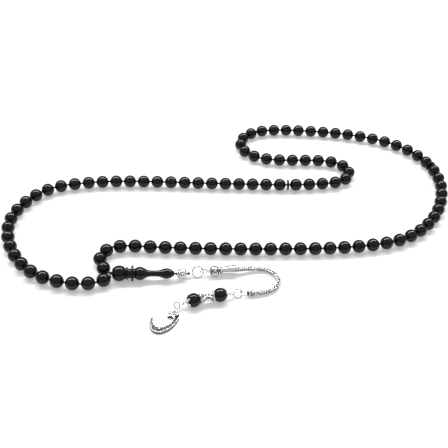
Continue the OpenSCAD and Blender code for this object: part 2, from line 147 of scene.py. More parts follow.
def march(line, steps):
    """Points along a line, each a straight step from the one before."""
    at, i, found = line[0], 0, [line[0]]
    for s in steps:
        while i + 2 < len(line) and (line[i + 1] - at).length < s:
            i += 1
        a, e = line[i + 1] - line[i], line[i] - at
        qa, qb, qc = a.dot(a), 2 * e.dot(a), e.dot(e) - s * s
        at = line[i] + a * (-qb + math.sqrt(qb * qb - 4 * qa * qc)) / (2 * qa)
        found.append(at)
    return found


def bead_slot(n):
    return n - 1 + (n - 1) // SET_COUNT


loop_scale = BEAD_PITCH / NOMINAL_PITCH
head = IMAME_AT.xy
slot_steps = [DIVIDER_T + 2 * DIVIDER_GAP if i % (SET_COUNT + 1) == SET_COUNT else BEAD_PITCH
              for i in range(SLOTS)]
gaps = [p.to_3d() + BEAD_Z * Z
        for p in march(smooth_line([head + (Vector(p) - head) * loop_scale for p in LOOP]), slot_steps)]


# ---------------------------------------------------------------- shader maths
class Socket:
    """One output of a shader node. Python's operators on it add Math nodes."""

    def __init__(self, finish, link):
        self.finish, self.link = finish, link

    def maths(self, operation, *values):
        return self.finish.node("ShaderNodeMath", {"operation": operation}, dict(enumerate(values)))

    def __add__(self, other):
        return self.maths("ADD", self, other)

    def __sub__(self, other):
        return self.maths("SUBTRACT", self, other)

    def __rsub__(self, other):
        return self.maths("SUBTRACT", other, self)

    def __mul__(self, other):
        return self.maths("MULTIPLY", self, other)

    def clamped(self):
        return self.finish.node("ShaderNodeClamp", {}, {0: self})

    __radd__, __rmul__ = __add__, __mul__


class Finish:
    """One material: nodes are added by node(), and sockets of the surface are set by surface()."""

    def __init__(self, name):
        self.material = bpy.data.materials.new(name)
        self.material.use_nodes = True
        self.tree = self.material.node_tree
        self.shader = self.tree.nodes["Principled BSDF"]

    def connect(self, socket, value):
        if isinstance(value, Socket):
            self.tree.links.new(value.link, socket)
        else:
            socket.default_value = value

    def node(self, kind, settings, inputs, output=0):
        made = self.tree.nodes.new(kind)
        for key, value in settings.items():
            setattr(made, key, value)
        for key, value in inputs.items():
            self.connect(made.inputs[key], value)
        return Socket(self, made.outputs[output])

    def surface(self, **values):
        for key, value in values.items():
            self.connect(self.shader.inputs[key.replace("_", " ").title().replace("Ior", "IOR")], value)
        return self.material

    def place(self):
        return self.node("ShaderNodeTexCoord", {}, {}, "Object")

    def attribute(self, name):
        return self.node("ShaderNodeAttribute", {"attribute_name": name}, {}, "Fac")

    def noise(self, scale, detail=3.0, at=None):
        return self.node("ShaderNodeTexNoise", {},
                         {"Vector": at or self.place(), "Scale": scale, "Detail": detail})

    def mixed(self, factor, first, second):
        return self.node("ShaderNodeMix", {"data_type": "RGBA"}, {0: factor, 6: first, 7: second}, 2)

    def bump(self, height, distance, strength=1.0):
        return self.node("ShaderNodeBump", {},
                         {"Height": height, "Distance": distance, "Strength": strength})


def grey(v):
    return (v, v, v, 1)


def jet_finish(name, roughness):
    """Polished jet: black, a little cloudy, with hairline polishing marks."""
    f = Finish(name)
    cloud = f.noise(420, 2)
    marks = f.noise(5200, 4)
    return f.surface(
        base_color=f.mixed(cloud, (0.001, 0.001, 0.0012, 1), (0.004, 0.0038, 0.0038, 1)),
        ior=1.36,
        roughness=(cloud * 0.05 + marks * 0.03 + roughness).clamped(),
        normal=f.bump(marks, 0.00001, 0.15))


def thread_finish():
    """Black three-ply thread; the plies run round the tube along its own length."""
    f = Finish("thread")
    along = f.node("ShaderNodeSeparateXYZ", {}, {0: f.node("ShaderNodeTexCoord", {}, {}, "UV")}, "X")
    around = f.node("ShaderNodeSeparateXYZ", {}, {0: f.node("ShaderNodeTexCoord", {}, {}, "UV")}, "Y")
    turns = (along * THREAD_TWISTS + around * 3) * (2 * math.pi)
    ply = turns.maths("SINE", turns) * 0.5 + 0.5
    fibre = f.noise(6000, 3)
    # The colour is darker in the grooves between the plies: painted shade that follows the bump.
    return f.surface(
        base_color=f.mixed(ply * 0.6 + fibre * 0.4, (0.003, 0.003, 0.003, 1), (0.02, 0.019, 0.018, 1)),
        roughness=fibre * 0.2 + 0.55,
        normal=f.bump(ply + fibre * 0.4, 0.0001, 0.8))


def silver_finish(name, roughness, grain):
    """Silver: bright where it is rubbed, and dark where the piece's darkness attribute says so, which is
    oxide in hollows in some pieces and painted shade in others.
    """
    f = Finish(name)
    cloud = f.noise(700, 3)
    fine = f.noise(4200, 4)
    dark = (f.attribute("patina_and_shade") * 1.25 - cloud * 0.25).clamped()
    bright = f.mixed(cloud, (0.80, 0.79, 0.775, 1), (0.66, 0.655, 0.645, 1))
    return f.surface(
        base_color=f.mixed(dark, bright, (0.012, 0.011, 0.010, 1)),
        metallic=1.0 - dark * 0.35,
        roughness=(dark * 0.35 + cloud * 0.06 + fine * grain + roughness).clamped(),
        normal=f.bump(fine, 0.00003, 0.12 + grain))


THREAD_LENGTH = 0.68
THREAD_TWISTS = THREAD_LENGTH / 0.0021
finishes = {
    "jet_bead": jet_finish("jet_bead", 0.05),
    "imame_jet": jet_finish("imame_jet", 0.05),
    "tassel_jet": jet_finish("tassel_jet", 0.05),
    "thread": thread_finish(),
    "polished_silver": silver_finish("polished_silver", 0.07, 0.03),
    "oxidised_silver": silver_finish("oxidised_silver", 0.14, 0.08),
    "chain_silver": silver_finish("chain_silver", 0.16, 0.05),
}


# ---------------------------------------------------------------- modelling by hand
def clear_selection():
    if bpy.context.object and bpy.context.object.mode != "OBJECT":
        bpy.ops.object.mode_set(mode="OBJECT")
    bpy.ops.object.select_all(action="DESELECT")


def open_mesh(piece, select="DESELECT"):
    """Goes into edit mode on one piece."""
    clear_selection()
    piece.select_set(True)
    bpy.context.view_layer.objects.active = piece
    bpy.ops.object.mode_set(mode="EDIT")
    bpy.ops.mesh.select_mode(type="VERT")
    bpy.ops.mesh.select_all(action=select)


def pick(piece, test, faces=False):
    """Selects, in edit mode, the vertices or faces whose place in mm passes the test."""
    bpy.ops.mesh.select_mode(type="FACE" if faces else "VERT")
    bpy.ops.mesh.select_all(action="DESELECT")
    shape = bmesh.from_edit_mesh(piece.data)
    for part in shape.faces if faces else shape.verts:
        place = (part.calc_center_median() if faces else part.co) / MM
        part.select_set(bool(test(place)))
    shape.select_flush_mode()
    bmesh.update_edit_mesh(piece.data)


def close_mesh(piece, sharp=35, merge=0.0005):
    """Merges doubles, turns the faces outwards and leaves edit mode smooth."""
    bpy.ops.mesh.select_all(action="SELECT")
    bpy.ops.mesh.remove_doubles(threshold=merge * MM)
    bpy.ops.mesh.normals_make_consistent(inside=False)
    bpy.ops.object.mode_set(mode="OBJECT")
    bpy.ops.object.shade_smooth_by_angle(angle=math.radians(sharp))
    return piece


def turned(name, profile, sides=48, bored=False, sharp=35):
    """A piece turned about X through (along, radius) pairs. A bored one closes on its first ring."""
    clear_selection()
    along, radius = profile[0]
    bpy.ops.mesh.primitive_circle_add(vertices=sides, radius=radius * MM, location=(along * MM, 0, 0),
                                      rotation=(0, math.pi / 2, 0))
    piece = bpy.context.object
    piece.name = name
    bpy.ops.object.transform_apply(location=True, rotation=True, scale=True)
    open_mesh(piece, "SELECT")
    for (s, r), (s_next, r_next) in zip(profile, profile[1:]):
        bpy.ops.mesh.extrude_region_move(TRANSFORM_OT_translate={"value": ((s_next - s) * MM, 0, 0)})
        bpy.ops.transform.resize(value=(1, r_next / r, r_next / r), center_override=(s_next * MM, 0, 0))
    ends = (profile[0], profile[-1])

    def on_ring(p, end):
        return abs(p.x - end[0]) < 0.002 and abs(math.hypot(p.y, p.z) - end[1]) < 0.002

    if bored:
        pick(piece, lambda p: any(on_ring(p, end) for end in ends))
        bpy.ops.mesh.bridge_edge_loops()
    else:
        for end in ends:
            pick(piece, lambda p: on_ring(p, end))
            bpy.ops.mesh.edge_face_add()
    return close_mesh(piece, sharp)


def wire(name, points, diameter, closed=False, sides=8):
    """A round wire or thread through points in mm, with its ends closed."""
    line = bpy.data.curves.new(name, "CURVE")
    line.dimensions = "3D"
    line.bevel_depth = diameter / 2 * MM
    line.bevel_resolution = sides // 2 - 2
    line.use_fill_caps = not closed
    spline = line.splines.new("POLY")
    spline.points.add(len(points) - 1)
    for point, place in zip(spline.points, points):
        point.co = (*(Vector(place) * MM), 1)
    spline.use_cyclic_u = closed
    piece = bpy.data.objects.new(name, line)
    bpy.context.scene.collection.objects.link(piece)
    clear_selection()
    piece.select_set(True)
    bpy.context.view_layer.objects.active = piece
    bpy.ops.object.convert(target="MESH")
    piece = bpy.context.object
    piece.name = name
    open_mesh(piece, "SELECT")
    return close_mesh(piece, 60)


def ring(name, radius, thickness, slit=True, sides=72):
    """A ring of round wire in the XY plane; a jump ring has a fine slit where its ends meet."""
    clear_selection()
    bpy.ops.mesh.primitive_torus_add(major_segments=sides, minor_segments=12,
                                     major_radius=radius * MM, minor_radius=thickness / 2 * MM)
    piece = bpy.context.object
    piece.name = name
    open_mesh(piece)
    if slit:
        step = 2 * math.pi / sides
        pick(piece, lambda p: abs(math.atan2(p.y, p.x) - 2.5 * step) < step / 2, faces=True)
        bpy.ops.mesh.delete(type="FACE")
        bpy.ops.mesh.select_all(action="SELECT")
        bpy.ops.mesh.fill_holes(sides=12)
    close_mesh(piece, 50)
    # A little dark all over and darker towards the inner side: painted shade that outlines the wire.
    return patina_and_shade(piece, lambda p: 0.15 + RING_INNER_SHADE * (radius - p.xy.length) / thickness)


def granules(name, spots, detail=2):
    """Small silver grains, each at a place with a radius, in one mesh."""
    clear_selection()
    (place, radius), *others = spots
    bpy.ops.mesh.primitive_ico_sphere_add(subdivisions=detail, radius=radius * MM,
                                          location=Vector(place) * MM)
    piece = bpy.context.object
    piece.name = name
    bpy.ops.object.transform_apply(location=True, rotation=True, scale=True)
    open_mesh(piece)
    for place, radius in others:
        bpy.ops.mesh.primitive_ico_sphere_add(subdivisions=detail, radius=radius * MM,
                                              location=Vector(place) * MM)
    return close_mesh(piece, 80)


def joined(name, pieces):
    """Several meshes made one piece."""
    clear_selection()
    for piece in pieces:
        piece.select_set(True)
    bpy.context.view_layer.objects.active = pieces[0]
    bpy.ops.object.join()
    piece = bpy.context.object
    piece.name = name
    return piece


def copied(piece, name, place=None):
    """A copy with its own mesh, laid by a matrix in mm."""
    copy = piece.copy()
    copy.data = piece.data.copy()
    copy.name = name
    bpy.context.scene.collection.objects.link(copy)
    return laid(copy, place) if place else copy


def laid(piece, place):
    """Moves the mesh, and not its object, to a place given in mm."""
    turn = place.copy()
    turn.translation = place.translation * MM
    piece.data.transform(turn)
    return piece


def removed(piece):
    bpy.data.objects.remove(piece)


def modified(piece, kind, **settings):
    """Adds a modifier, and applies it."""
    clear_selection()
    piece.select_set(True)
    bpy.context.view_layer.objects.active = piece
    modifier = piece.modifiers.new(kind.lower(), kind)
    for key, value in settings.items():
        setattr(modifier, key, value)
    bpy.ops.object.modifier_apply(modifier=modifier.name)
    return piece


def at(place, yaw=0.0, pitch=0.0, tilt=0.0):
    """A place in mm, turned about Z, then tipped about Y, then rolled about X, in degrees."""
    return (Matrix.Translation(place) @ Matrix.Rotation(math.radians(yaw), 4, "Z")
            @ Matrix.Rotation(math.radians(pitch), 4, "Y") @ Matrix.Rotation(math.radians(tilt), 4, "X"))


def along(place, direction):
    """A place in mm with X turned into a direction and Z kept up."""
    x = direction.normalized()
    y = Z.cross(x).normalized()
    return Matrix.Translation(place) @ Matrix((x, y, x.cross(y))).transposed().to_4x4()


def patina_and_shade(piece, rule):
    """Paints how dark each vertex is, from its place in mm: oxide in some pieces, painted shade in others."""
    layer = piece.data.attributes.get("patina_and_shade") or piece.data.attributes.new("patina_and_shade", "FLOAT", "POINT")
    layer.data.foreach_set("value", [min(1.0, max(0.0, rule(v.co / MM))) for v in piece.data.vertices])
    return piece


def show(piece, body, slot, *nodes):
    """Gives a piece its finish, its body and the CAD nodes that it stands for."""
    piece.data.materials.clear()
    piece.data.materials.append(finishes[slot])
    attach(piece, body)
    if nodes:
        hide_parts(*nodes)
    return piece


# ---------------------------------------------------------------- thread
def thread_route():
    """Out of the imame's head, through every bead, and back in beside its other end."""
    axis = (IMAME_TIP - IMAME_AT).normalized()
    aside = Z.cross(axis).normalized() * STRAND_Y
    knee = 0.3
    route = [IMAME_AT + axis * HEAD_OPEN + aside, IMAME_AT - axis * STRAND_OUT + aside]
    for before, here, after in zip(gaps, gaps[1:], gaps[2:]):
        back, ahead = (before - here).normalized() * knee, (after - here).normalized() * knee
        if here is gaps[1]:
            route.append(gaps[0])
        route += [here + back, here + (back + ahead) * 0.25, here + ahead]
    return route + [gaps[-1], IMAME_AT - axis * STRAND_OUT - aside, IMAME_AT + axis * HEAD_OPEN - aside]


route = thread_route()
thread_length = sum((b - a).length for a, b in zip(route, route[1:])) * MM
thread = show(wire("thread_loop", route, THREAD_D, sides=12), "string", "thread", "thread")
route[0] * MM
[p * MM for p in route]


# ---------------------------------------------------------------- counting beads and dividers
def ball_profile(diameter, bore, step=9):
    """A drilled ball with the edge of its bore rounded."""
    r, rim = diameter / 2, bore / 2 + 0.16
    start = math.degrees(math.asin(rim / r))
    count = round((180 - 2 * start) / step)
    arc = [math.radians(start + (180 - 2 * start) * k / count) for k in range(count + 1)]
    inset = math.cos(arc[0]) * r - 0.14
    return [(-inset, bore / 2), *[(-r * math.cos(a), r * math.sin(a)) for a in arc], (inset, bore / 2)]


def slot_place(i):
    return along((gaps[i] + gaps[i + 1]) / 2, gaps[i + 1] - gaps[i])


bead_blank = turned("bead_blank", ball_profile(BEAD_D, BORE), sides=40, bored=True)
for n in [*range(1, 11), *range(90, 100)]:
    name = f"bead_{n:02d}"
    show(copied(bead_blank, f"{name}_ball", slot_place(bead_slot(n))), name, "jet_bead", name)
for first, last in ((11, 33), (34, 66), (67, 89)):
    name = f"beads_{first}_to_{last}"
    run = [copied(bead_blank, f"ball_{n}", slot_place(bead_slot(n))) for n in range(first, last + 1)]
    show(joined(f"{name}_balls", run), "string", "jet_bead", name)
removed(bead_blank)

half_t, r = DIVIDER_T / 2, DIVIDER_D / 2
divider_blank = turned("divider_blank", [
    (-half_t + 0.1, BORE / 2), (-half_t, BORE / 2 + 0.1), (-half_t, r - 0.28), (-half_t + 0.05, r - 0.12),
    (-half_t + 0.16, r - 0.03), (-half_t + 0.3, r), (half_t - 0.3, r), (half_t - 0.16, r - 0.03),
    (half_t - 0.05, r - 0.12), (half_t, r - 0.28), (half_t, BORE / 2 + 0.1), (half_t - 0.1, BORE / 2)],
    bored=True)
for k in (1, 2):
    name = f"divider_{k}"
    show(copied(divider_blank, f"{name}_disc", slot_place(k * (SET_COUNT + 1) - 1)), name, "jet_bead", name)
removed(divider_blank)


# ---------------------------------------------------------------- imame
def imame_profile():
    head_r, flat_r, neck_r, bore_r, tip_bore_r = IMAME_BALL_D / 2, 1.75, 2.1, 1.4, 0.55
    ball_s = math.sqrt(head_r ** 2 - flat_r ** 2)
    ring_s = ball_s + head_r - 0.15
    disc_s = ring_s + 2.35
    body_s = disc_s + IMAME_DISC_T / 2 + IMAME_BODY_D / 2 - 0.15
    waist_s, tip_l = body_s + 6, 3.5
    tip_s = IMAME_L - tip_l

    def arc(s, r_from, radius, first, last, steps):
        """Points on a circle about (s, r_from), from one angle to another, in degrees."""
        angles = [math.radians(first + (last - first) * k / steps) for k in range(steps + 1)]
        return [(s - radius * math.cos(a), r_from + radius * math.sin(a)) for a in angles]

    def waist(s):
        t, m = (s - body_s) / (tip_s - body_s), (waist_s - body_s) / (tip_s - body_s)
        low = IMAME_WAIST_D / 2
        if t < m:
            return low + (IMAME_BODY_D / 2 - low) * math.cos(math.pi / 2 * t / m) ** 4.5
        return low + (IMAME_TIP_D / 2 - low) * math.cos(math.pi / 2 * (1 - t) / (1 - m)) ** 4

    neck_angle = math.degrees(math.asin(neck_r / head_r))
    flat_angle = math.degrees(math.asin((flat_r + 0.02) / head_r))
    disc_r, edge = IMAME_DISC_D / 2, 0.18
    front, back = disc_s - IMAME_DISC_T / 2, disc_s + IMAME_DISC_T / 2
    shoulder = math.degrees(math.asin(neck_r / (IMAME_BODY_D / 2)))
    return [
        (3.9, bore_r), (0.2, bore_r), (0.02, bore_r + 0.14), (0, flat_r - 0.08),
        *arc(ball_s, 0, head_r, flat_angle, 180 - neck_angle, 20),
        (ring_s - 0.5, neck_r),
        *arc(ring_s, IMAME_RING_D / 2 - 0.45, 0.45, 5, 175, 8),
        (ring_s + 0.5, neck_r), (front - 0.06, neck_r), (front, neck_r + 0.08),
        (front, disc_r - edge), *arc(front + edge, disc_r - edge, edge, 15, 90, 3),
        *arc(back - edge, disc_r - edge, edge, 90, 165, 3), (back, disc_r - edge),
        (back, neck_r + 0.08), (back + 0.06, neck_r),
        *arc(body_s, 0, IMAME_BODY_D / 2, shoulder, 86, 7),
        *[(s, waist(s)) for s in (body_s + (tip_s - body_s) * k / 30 for k in range(31))],
        *[(tip_s + tip_l * math.sin(a), IMAME_TIP_D / 2 * math.cos(a))
          for a in (math.radians(7.5 * k) for k in range(1, 9))],
        (IMAME_L - 0.12, 1.0), (IMAME_L - 0.02, 0.93), (IMAME_L, 0.8), (IMAME_L - 0.2, 0.7),
        (IMAME_L - 1.2, tip_bore_r), (4.1, tip_bore_r)]


imame = turned("imame_turning", imame_profile(), sides=72, bored=True, sharp=40)
show(laid(imame, along(IMAME_AT, IMAME_TIP - IMAME_AT)), "imame", "imame_jet", "imame")

# ---------------------------------------------------------------- tail of thread
tail_axis = joint_axis("filigree_spin")
knot_at = middle("knot")
filigree_at = middle("filigree_ball")
tail_from, tail_to = IMAME_TIP - tail_axis * 0.3, knot_at
tail_points = [tail_from + (tail_to - tail_from) * k / 12 for k in range(13)]
show(wire("tail_thread_ply", tail_points, THREAD_D * 0.98, sides=12), "tail", "thread", "tail_thread")


def knot_line(steps=60):
    """An overhand knot's line."""
    turns = [2 * math.pi * k / steps for k in range(steps)]
    return [Vector((0.3 * math.sin(3 * a) * 0.8, 0.15 * (math.sin(a) + 2 * math.sin(2 * a)),
                    0.15 * (math.cos(a) - 2 * math.cos(2 * a)))) for a in turns]


knot = wire("knot_turns", knot_line(), 0.52, closed=True)
show(laid(knot, along(knot_at, tail_axis)), "tail", "thread", "knot")


# ---------------------------------------------------------------- filigree ball
def filigree_ball():
    """An openwork ball: a pierced shell, a grain on each of its joints, a collar at each end, and inside a
    sphere painted dark as the shade seen through the holes.
    """
    clear_selection()
    shell_r, grain_r = FILIGREE_D / 2 - 0.14, 0.24
    bpy.ops.mesh.primitive_ico_sphere_add(subdivisions=2, radius=shell_r * MM)
    shell = bpy.context.object
    corners = [v.co / MM for v in shell.data.vertices]
    open_mesh(shell, "SELECT")
    bpy.ops.mesh.inset(thickness=0.27 * MM, use_individual=True)
    bpy.ops.mesh.delete(type="FACE")
    bpy.ops.object.mode_set(mode="OBJECT")
    modified(shell, "SOLIDIFY", thickness=0.4 * MM, offset=-1.0)
    modified(shell, "SUBSURF", levels=2, render_levels=2)
    grains = granules("grains", [(c.normalized() * (FILIGREE_D / 2 - grain_r), grain_r) for c in corners
                                 if abs(c.normalized().x) < 0.93])
    collars = [laid(ring("collar_wire", 0.72, 0.32, slit=False, sides=32), at((side * 2.28, 0, 0), pitch=90))
               for side in (-1, 1)]
    shade_lining_r = 1.85
    arc = [math.radians(12 + 156 * k / 16) for k in range(17)]
    shade_lining = turned("shade_lining", [(-shade_lining_r * math.cos(a), shade_lining_r * math.sin(a)) for a in arc])
    ball = joined("filigree_openwork", [shell, grains, shade_lining, *collars])
    # Dark inside: oxide on the shell's inner faces, and painted shade on the inner sphere, which the real
    # ball does not have.
    return patina_and_shade(ball, lambda p: 1 - (p.length - 2.0) / 0.24)


show(laid(filigree_ball(), along(filigree_at, tail_axis)), "filigree_ball", "oxidised_silver",
     "filigree_ball")

# ---------------------------------------------------------------- jump rings and the link
RING_1_YAW, LINK_YAW, CAP_YAW, END_YAW, RING_2_YAW, PIN_YAW = 8, 5, 9, 186, 194, 199.5
show(laid(ring("thread_eye_wire", EYE_R, LINK_WIRE), at(middle("thread_eye"), RING_1_YAW, tilt=LEAN - 90)),
     "tail", "polished_silver", "thread_eye")
show(laid(ring("ring_1_wire", 2.375, 0.55), at(middle("ring_1"), RING_1_YAW, tilt=LEAN)),
     "ring_1", "polished_silver", "ring_1")
show(laid(ring("link_wire", 1.775, LINK_WIRE), at(middle("link"), LINK_YAW)),
     "link", "polished_silver", "link")
show(laid(ring("ring_2_wire", 1.8, 0.5), at(middle("ring_2"), RING_2_YAW, tilt=-LEAN)),
     "ring_2", "polished_silver", "ring_2")
# Dark on its inner half and somewhat dark all over: painted shade for the dark hole in the ring.
small_ring_1 = patina_and_shade(ring("small_ring_1_wire", 1.25, SMALL_WIRE), lambda p: 0.4 + (1.3 - p.xy.length) / 0.2)
show(laid(small_ring_1, at(middle("small_ring_1"), tilt=LEAN)), "small_ring_1", "polished_silver",
     "small_ring_1")
show(laid(ring("small_ring_2_wire", 0.8, SMALL_WIRE), at(middle("small_ring_2"), 90, tilt=90)),
     "small_ring_2", "polished_silver", "small_ring_2")


# ---------------------------------------------------------------- ball, collar and bell
def round_about(count, along_x, radius, size, turn=0.0):
    """Grains in a circle about X."""
    angles = [2 * math.pi * (k + turn) / count for k in range(count)]
    return [((along_x, radius * math.cos(a), radius * math.sin(a)), size) for a in angles]


def flower_on(ball_r, angle, size):
    """Seven grains on a ball, as a flower with its middle at an angle round the belly."""
    out = Vector((0, math.cos(angle), math.sin(angle)))
    side = X.cross(out)
    spots = [(out * ball_r, size)]
    for k in range(6):
        a = k * math.pi / 3
        place = out * ball_r + (X * math.cos(a) + side * math.sin(a)) * size * 1.9
        spots.append((place.normalized() * (ball_r - 0.04), size * 0.92))
    return spots


def cap_ball():
    r = CAP_BALL_D / 2
    body_r = r - 0.14
    arc = [math.radians(10 + 160 * k / 22) for k in range(23)]
    body = turned("ball", [(-body_r * math.cos(a), body_r * math.sin(a)) for a in arc], sides=56)
    spots = round_about(20, -1.62, 1.45, 0.16) + round_about(20, 1.62, 1.45, 0.16)
    for k in range(4):
        spots += flower_on(r - 0.16, math.radians(90 * k + 51), 0.3)
    eye = laid(ring("eye", EYE_R, LINK_WIRE, slit=False), at((-r - EYE_R + LINK_WIRE / 2, 0, 0), tilt=90))
    lip = laid(ring("lip", 1.38, 0.2, slit=False), at((1.86, 0, 0), pitch=90))
    ball = joined("cap_ball_grained", [body, granules("grains", spots), eye, lip])

    def dark(p):
        """Dark between the flowers' grains and beside the rows."""
        low = (r - 0.04 - p.length) / 0.12
        near = min((p - Vector(s)).length for s, _ in spots)
        return low * (1.0 if near < 0.62 else 0.12)

    return patina_and_shade(ball, lambda p: 0 if p.x < -r - 0.1 else dark(p))


def collar():
    core = turned("core", [(-0.4, 0.9), (-0.4, 1.3), (0.4, 1.3), (0.4, 0.9)], bored=True)
    grains = granules("grains", round_about(12, 0, (COLLAR_D - 0.8) / 2, 0.39))
    piece = joined("collar_grained", [core, grains])
    return patina_and_shade(piece, lambda p: (1.52 - math.hypot(p.y, p.z)) / 0.14)


def bell():
    """A smooth hollow bell with a rolled rim."""
    def outer(s):
        t = s / BELL_L
        return (BELL_THROAT_D + (BELL_MOUTH_D - BELL_THROAT_D) * (0.72 * t + 0.28 * t * t)) / 2

    rim = [(BELL_L - 0.3, outer(BELL_L) - 0.07), (BELL_L - 0.2, outer(BELL_L)),
           (BELL_L - 0.06, outer(BELL_L)), (BELL_L, outer(BELL_L) - 0.1),
           (BELL_L - 0.02, outer(BELL_L) - 0.3)]
    walls = [BELL_L * k / 16 for k in range(16)]
    inner = [(s, outer(s) - BELL_WALL) for s in reversed(walls) if s > 1]
    piece = turned("bell_turning", [
        (0.02, 0.3), (0, BELL_THROAT_D / 2 - 0.12), *[(s + 0.05, outer(s)) for s in walls[:-1]],
        *rim, *inner, (1.0, 0.3)], sides=64, bored=True, sharp=30)
    return patina_and_shade(piece, lambda p: 0.8 if math.hypot(p.y, p.z) < outer(p.x) - 0.34 and p.x > 0.9 else 0)


cap_s = 1.775 + LINK_WIRE / 2 + 0.15 + CAP_BALL_D / 2
cap_heading = Vector((math.cos(math.radians(CAP_YAW)), math.sin(math.radians(CAP_YAW)), 0))
cap_at = (middle("link") + cap_heading * cap_s).xy.to_3d() + CAP_BALL_D / 2 * Z
COLLAR_S = CAP_BALL_D / 2 + 0.35
show(laid(cap_ball(), along(cap_at, cap_heading)), "bell", "oxidised_silver", "cap_ball")
show(laid(collar(), along(cap_at + cap_heading * COLLAR_S, cap_heading)), "bell", "oxidised_silver", "collar")
show(laid(bell(), along(cap_at + cap_heading * (COLLAR_S + 0.4), cap_heading)), "bell", "polished_silver",
     "bell")


# ---------------------------------------------------------------- foxtail chain
CHAIN_STEP = 1.0


def chain_link():
    """One loop of the foxtail chain, bent like a saddle: few faces, as it is repeated all along."""
    line = [Vector((0.2 * math.sin(2 * a), 0.84 * math.cos(a), 0.84 * math.sin(a)))
            for a in (math.pi / 8 * k for k in range(16))]
    return wire("link", line, 0.42, closed=True, sides=6)


def chain_stretch(name, start, end):
    """Saddle loops on a core painted dark as the shade inside the chain, with a ridge along each side where
    the loops lock together.
    """
    length = (end - start).length
    count = round(length / CHAIN_STEP)
    links = [turned("core", [(0.1, 0.3), (0.3, 0.66), (length - 0.3, 0.66), (length - 0.1, 0.3)], sides=10)]
    for k in range(count):
        links.append(copied(link_blank, "loop", at(((k + 0.5) * length / count, 0, 0))))
    for k in range(4):
        turn = math.pi / 4 + k * math.pi / 2
        y, z = 0.8 * math.cos(turn), 0.8 * math.sin(turn)
        links.append(wire("ridge", [(0.15, y, z), (length / 2, y, z), (length - 0.15, y, z)], 0.46, sides=6))
    stretch = joined(name, links)
    # Darker towards the chain's axis: painted shade on the core and on the inner sides of the loops and
    # ridges.
    patina_and_shade(stretch, lambda p: (0.86 - math.hypot(p.y, p.z)) / 0.12)
    return laid(stretch, along(start, end - start))


link_blank = chain_link()
chain_joints = [joint_at(f"chain_{k:02d}_bend") for k in range(2, 11)]
chain_start = (chain_joints[0] - cap_heading * 3.6).xy.to_3d() + cap_at.z * Z
end_heading = Vector((math.cos(math.radians(END_YAW)), math.sin(math.radians(END_YAW)), 0))
chain_stop = chain_joints[-1] + end_heading * (END_CAP_S + END_CAP_L - 1.1)
chain_points = [chain_start, *chain_joints, chain_stop]
for k, (start, end) in enumerate(zip(chain_points, chain_points[1:]), 1):
    node = f"chain_{k:02d}"
    body = {1: "bell", 10: "chain_end"}.get(k, node)
    show(chain_stretch(f"{node}_foxtail", start, end), body, "chain_silver", node)
removed(link_blank)


def end_cap():
    r = END_CAP_D / 2
    eye_r, eye_s = 1.35, END_CAP_L + 1.35 - LINK_WIRE / 2
    body = turned("tube", [
        (0.6, 1.16), (0.0, 1.18), (-0.02, r - 0.1), (0.06, r - 0.02), (0.4, r - 0.02), (0.48, r - 0.14),
        (2.5, r - 0.16), (2.6, r - 0.03), (2.85, r - 0.03), (2.95, r - 0.2), (3.5, r - 0.6), (3.78, 0.3)],
        sides=40)
    grains = granules("grains", round_about(16, 0.78, r - 0.17, 0.17) + round_about(16, 2.25, r - 0.17, 0.17)
                      + round_about(12, 1.5, r - 0.2, 0.2, 0.5))
    eye_drop = middle("ring_2").z - end_cap_z
    eye = laid(ring("eye", eye_r, LINK_WIRE, slit=False), at((eye_s, 0, eye_drop)))
    piece = joined("end_cap_grained", [body, grains, eye])
    return patina_and_shade(piece, lambda p: 0 if p.x > 3.5 else (r - 0.08 - math.hypot(p.y, p.z)) / 0.1)


end_cap_z = max(chain_joints[-1].z, END_CAP_D / 2)
end_cap_at = (chain_joints[-1] + end_heading * END_CAP_S).xy.to_3d() + end_cap_z * Z
show(laid(end_cap(), along(end_cap_at, end_heading)), "chain_end", "chain_silver", "end_cap")

# ---------------------------------------------------------------- pin with two beads and a spacer
bead_1, bead_2 = middle("tassel_bead_1"), middle("tassel_bead_2")
pin_axis = (bead_2 - bead_1).normalized()
pin_place = along(bead_1, pin_axis)
BEAD_STEP = (bead_2 - bead_1).length
PIN_BEAD_S, PIN_EYE_2_S = TASSEL_BEAD_D / 2 + 2.9, TASSEL_BEAD_D / 2 + 2.4


def coil(start, end, radius, thickness, turns):
    """Wire wound round the pin beside its eye."""
    steps = turns * 12
    x = (end - start).normalized()
    y = Y
    z = x.cross(y)
    line = []
    for k in range(steps + 1):
        a = 2 * math.pi * k / 12
        line.append(start + (end - start) * k / steps + (y * math.cos(a) + z * math.sin(a)) * radius)
    return wire("coil", line, thickness)


